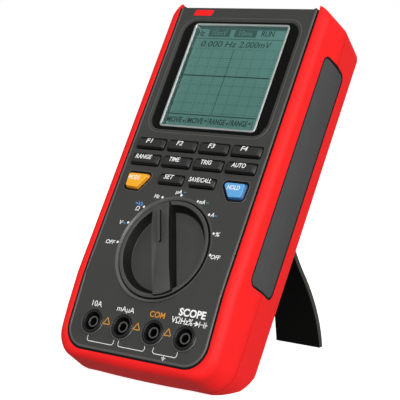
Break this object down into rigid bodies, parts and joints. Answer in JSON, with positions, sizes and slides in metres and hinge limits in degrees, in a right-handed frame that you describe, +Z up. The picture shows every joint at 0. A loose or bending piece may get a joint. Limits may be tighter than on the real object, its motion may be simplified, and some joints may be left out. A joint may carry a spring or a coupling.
{
  "type": "handheld oscilloscope",
  "caption": "Handheld oscilloscope and multimeter with a display, keys, a rotary selector and shrouded jacks, leaning back on its open tilt stand.",
  "frame": {"origin": "on the table, at the centre of the footprint's bounding box, under the unit leaning back on its open stand", "axes": "+Z up, +X to the right of a person facing the display, +Y away from that person"},
  "size_m": [0.1, 0.1372, 0.1807],
  "materials": {
    "case_dark": "fine-textured dark grey moulding",
    "overmould_red": "satin red soft overmould",
    "case_red": "satin red soft overmould on the rear shell",
    "grip_rubber": "matt dark grey rubber",
    "bezel_black": "high-gloss black",
    "trim_silver": "bright satin",
    "window_clear": "clear polished window",
    "lcd_glass": "grey-green display",
    "diffuser": "white light guide",
    "zebra": "striped conductive elastomer",
    "board_green": "solder-masked circuit board",
    "mat_silicone": "translucent silicone",
    "key_dark": "matt dark grey",
    "key_amber": "matt amber",
    "key_blue": "matt light blue",
    "knob_dark": "fine-textured dark grey",
    "shaft_plastic": "natural acetal",
    "spring_steel": "bright spring wire",
    "contact_gold": "gold-plated",
    "shield_tin": "tinned steel",
    "part_black": "matt black moulding",
    "fuse_ceramic": "glazed ceramic",
    "fuse_end": "nickel-plated",
    "shunt_alloy": "bare resistance alloy",
    "jack_shroud": "matt black moulding",
    "cell_can": "wrapped steel can",
    "screw_steel": "black zinc plate",
    "stand_black": "satin black moulding"
  },
  "bodies": {
    "case": {"front_case": "case_dark", "front_bumper": "overmould_red", "rear_case": "case_red", "left_grip": "grip_rubber", "right_grip": "grip_rubber", "window_bezel": "bezel_black", "display_trim": "trim_silver", "display_window": "window_clear", "lcd_panel": "lcd_glass", "backlight": "diffuser", "zebra_strips": "zebra", "display_board": "board_green", "keypad_mat": "mat_silicone", "detent_ring": "shaft_plastic", "main_board": "board_green", "switch_tracks": "contact_gold", "board_connector": "part_black", "input_shield": "shield_tin", "buzzer": "part_black", "fuse_tubes": "fuse_ceramic", "fuse_caps": "fuse_end", "fuse_clips": "spring_steel", "shunt_bar": "shunt_alloy", "jack_housings": "jack_shroud", "jack_contacts": "contact_gold", "battery_tray": "part_black", "battery_cells": "cell_can", "battery_contacts": "spring_steel", "battery_door": "stand_black", "case_screws": "screw_steel", "board_screws": "screw_steel", "door_screws": "screw_steel", "stand_pin": "screw_steel"},
    "dial": {"dial_knob": "knob_dark", "dial_shaft": "shaft_plastic", "detent_hub": "shaft_plastic", "detent_springs": "spring_steel", "detent_balls": "spring_steel", "dial_rotor": "shaft_plastic", "rotor_wipers": "contact_gold"},
    "stand": {"tilt_stand": "stand_black"},
    "key_f1": {"key_f1": "key_dark"},
    "key_f2": {"key_f2": "key_dark"},
    "key_f3": {"key_f3": "key_dark"},
    "key_f4": {"key_f4": "key_dark"},
    "key_range": {"key_range": "key_dark"},
    "key_time": {"key_time": "key_dark"},
    "key_trigger": {"key_trigger": "key_dark"},
    "key_auto": {"key_auto": "key_dark"},
    "key_set": {"key_set": "key_dark"},
    "key_save": {"key_save": "key_dark"},
    "key_mode": {"key_mode": "key_amber"},
    "key_hold": {"key_hold": "key_blue"}
  },
  "joints": [
    {"name": "dial_turn", "type": "hinge", "parent": "case", "child": "dial", "pos_m": [0, -0.04167, 0.0646], "axis": [0, -0.848, 0.5299], "range_deg": [-112.5, 67.5]},
    {"name": "stand_fold", "type": "hinge", "parent": "case", "child": "stand", "pos_m": [0, 0.03682, 0.10812], "axis": [1, 0, 0], "range_deg": [-40, 0]},
    {"name": "key_f1_press", "type": "slide", "parent": "case", "child": "key_f1", "axis": [0, 0.848, -0.5299], "range_m": [0, 0.0008], "stiffness_N_per_m": 400},
    {"name": "key_f2_press", "type": "slide", "parent": "case", "child": "key_f2", "axis": [0, 0.848, -0.5299], "range_m": [0, 0.0008], "stiffness_N_per_m": 400},
    {"name": "key_f3_press", "type": "slide", "parent": "case", "child": "key_f3", "axis": [0, 0.848, -0.5299], "range_m": [0, 0.0008], "stiffness_N_per_m": 400},
    {"name": "key_f4_press", "type": "slide", "parent": "case", "child": "key_f4", "axis": [0, 0.848, -0.5299], "range_m": [0, 0.0008], "stiffness_N_per_m": 400},
    {"name": "key_range_press", "type": "slide", "parent": "case", "child": "key_range", "axis": [0, 0.848, -0.5299], "range_m": [0, 0.0008], "stiffness_N_per_m": 400},
    {"name": "key_time_press", "type": "slide", "parent": "case", "child": "key_time", "axis": [0, 0.848, -0.5299], "range_m": [0, 0.0008], "stiffness_N_per_m": 400},
    {"name": "key_trigger_press", "type": "slide", "parent": "case", "child": "key_trigger", "axis": [0, 0.848, -0.5299], "range_m": [0, 0.0008], "stiffness_N_per_m": 400},
    {"name": "key_auto_press", "type": "slide", "parent": "case", "child": "key_auto", "axis": [0, 0.848, -0.5299], "range_m": [0, 0.0008], "stiffness_N_per_m": 400},
    {"name": "key_set_press", "type": "slide", "parent": "case", "child": "key_set", "axis": [0, 0.848, -0.5299], "range_m": [0, 0.0008], "stiffness_N_per_m": 400},
    {"name": "key_save_press", "type": "slide", "parent": "case", "child": "key_save", "axis": [0, 0.848, -0.5299], "range_m": [0, 0.0008], "stiffness_N_per_m": 400},
    {"name": "key_mode_press", "type": "slide", "parent": "case", "child": "key_mode", "axis": [0, 0.848, -0.5299], "range_m": [0, 0.0008], "stiffness_N_per_m": 400},
    {"name": "key_hold_press", "type": "slide", "parent": "case", "child": "key_hold", "axis": [0, 0.848, -0.5299], "range_m": [0, 0.0008], "stiffness_N_per_m": 400}
  ]
}
